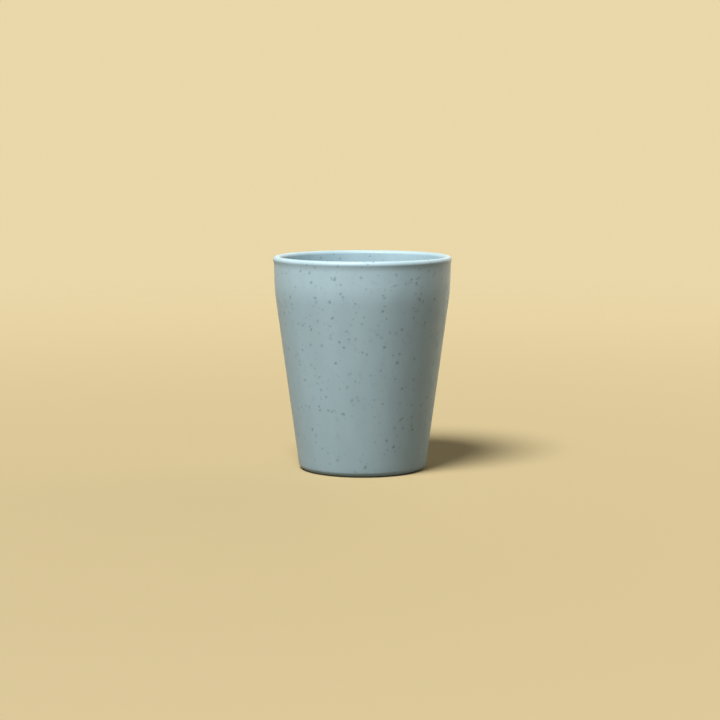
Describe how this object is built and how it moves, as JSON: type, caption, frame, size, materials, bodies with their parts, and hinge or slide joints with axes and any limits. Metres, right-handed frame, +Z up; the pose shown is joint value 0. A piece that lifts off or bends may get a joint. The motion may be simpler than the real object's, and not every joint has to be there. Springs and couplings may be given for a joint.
{
  "type": "drinking cup",
  "caption": "Tapered stacking tumbler moulded in speckled straw-filled plastic, with a full-round lip, a steeper band above a soft shoulder, and a recessed foot ring.",
  "frame": {"origin": "on the table, under the middle of the foot", "axes": "+Z up along the cup's axis of symmetry, through the mouth; X and Y are alike, because the cup is round"},
  "size_m": [0.08, 0.08, 0.096],
  "materials": {
    "straw_plastic": "satin grey-blue straw-filled polypropylene with small dark flecks"
  },
  "bodies": {
    "root": {"cup": "straw_plastic"}
  },
  "joints": []
}
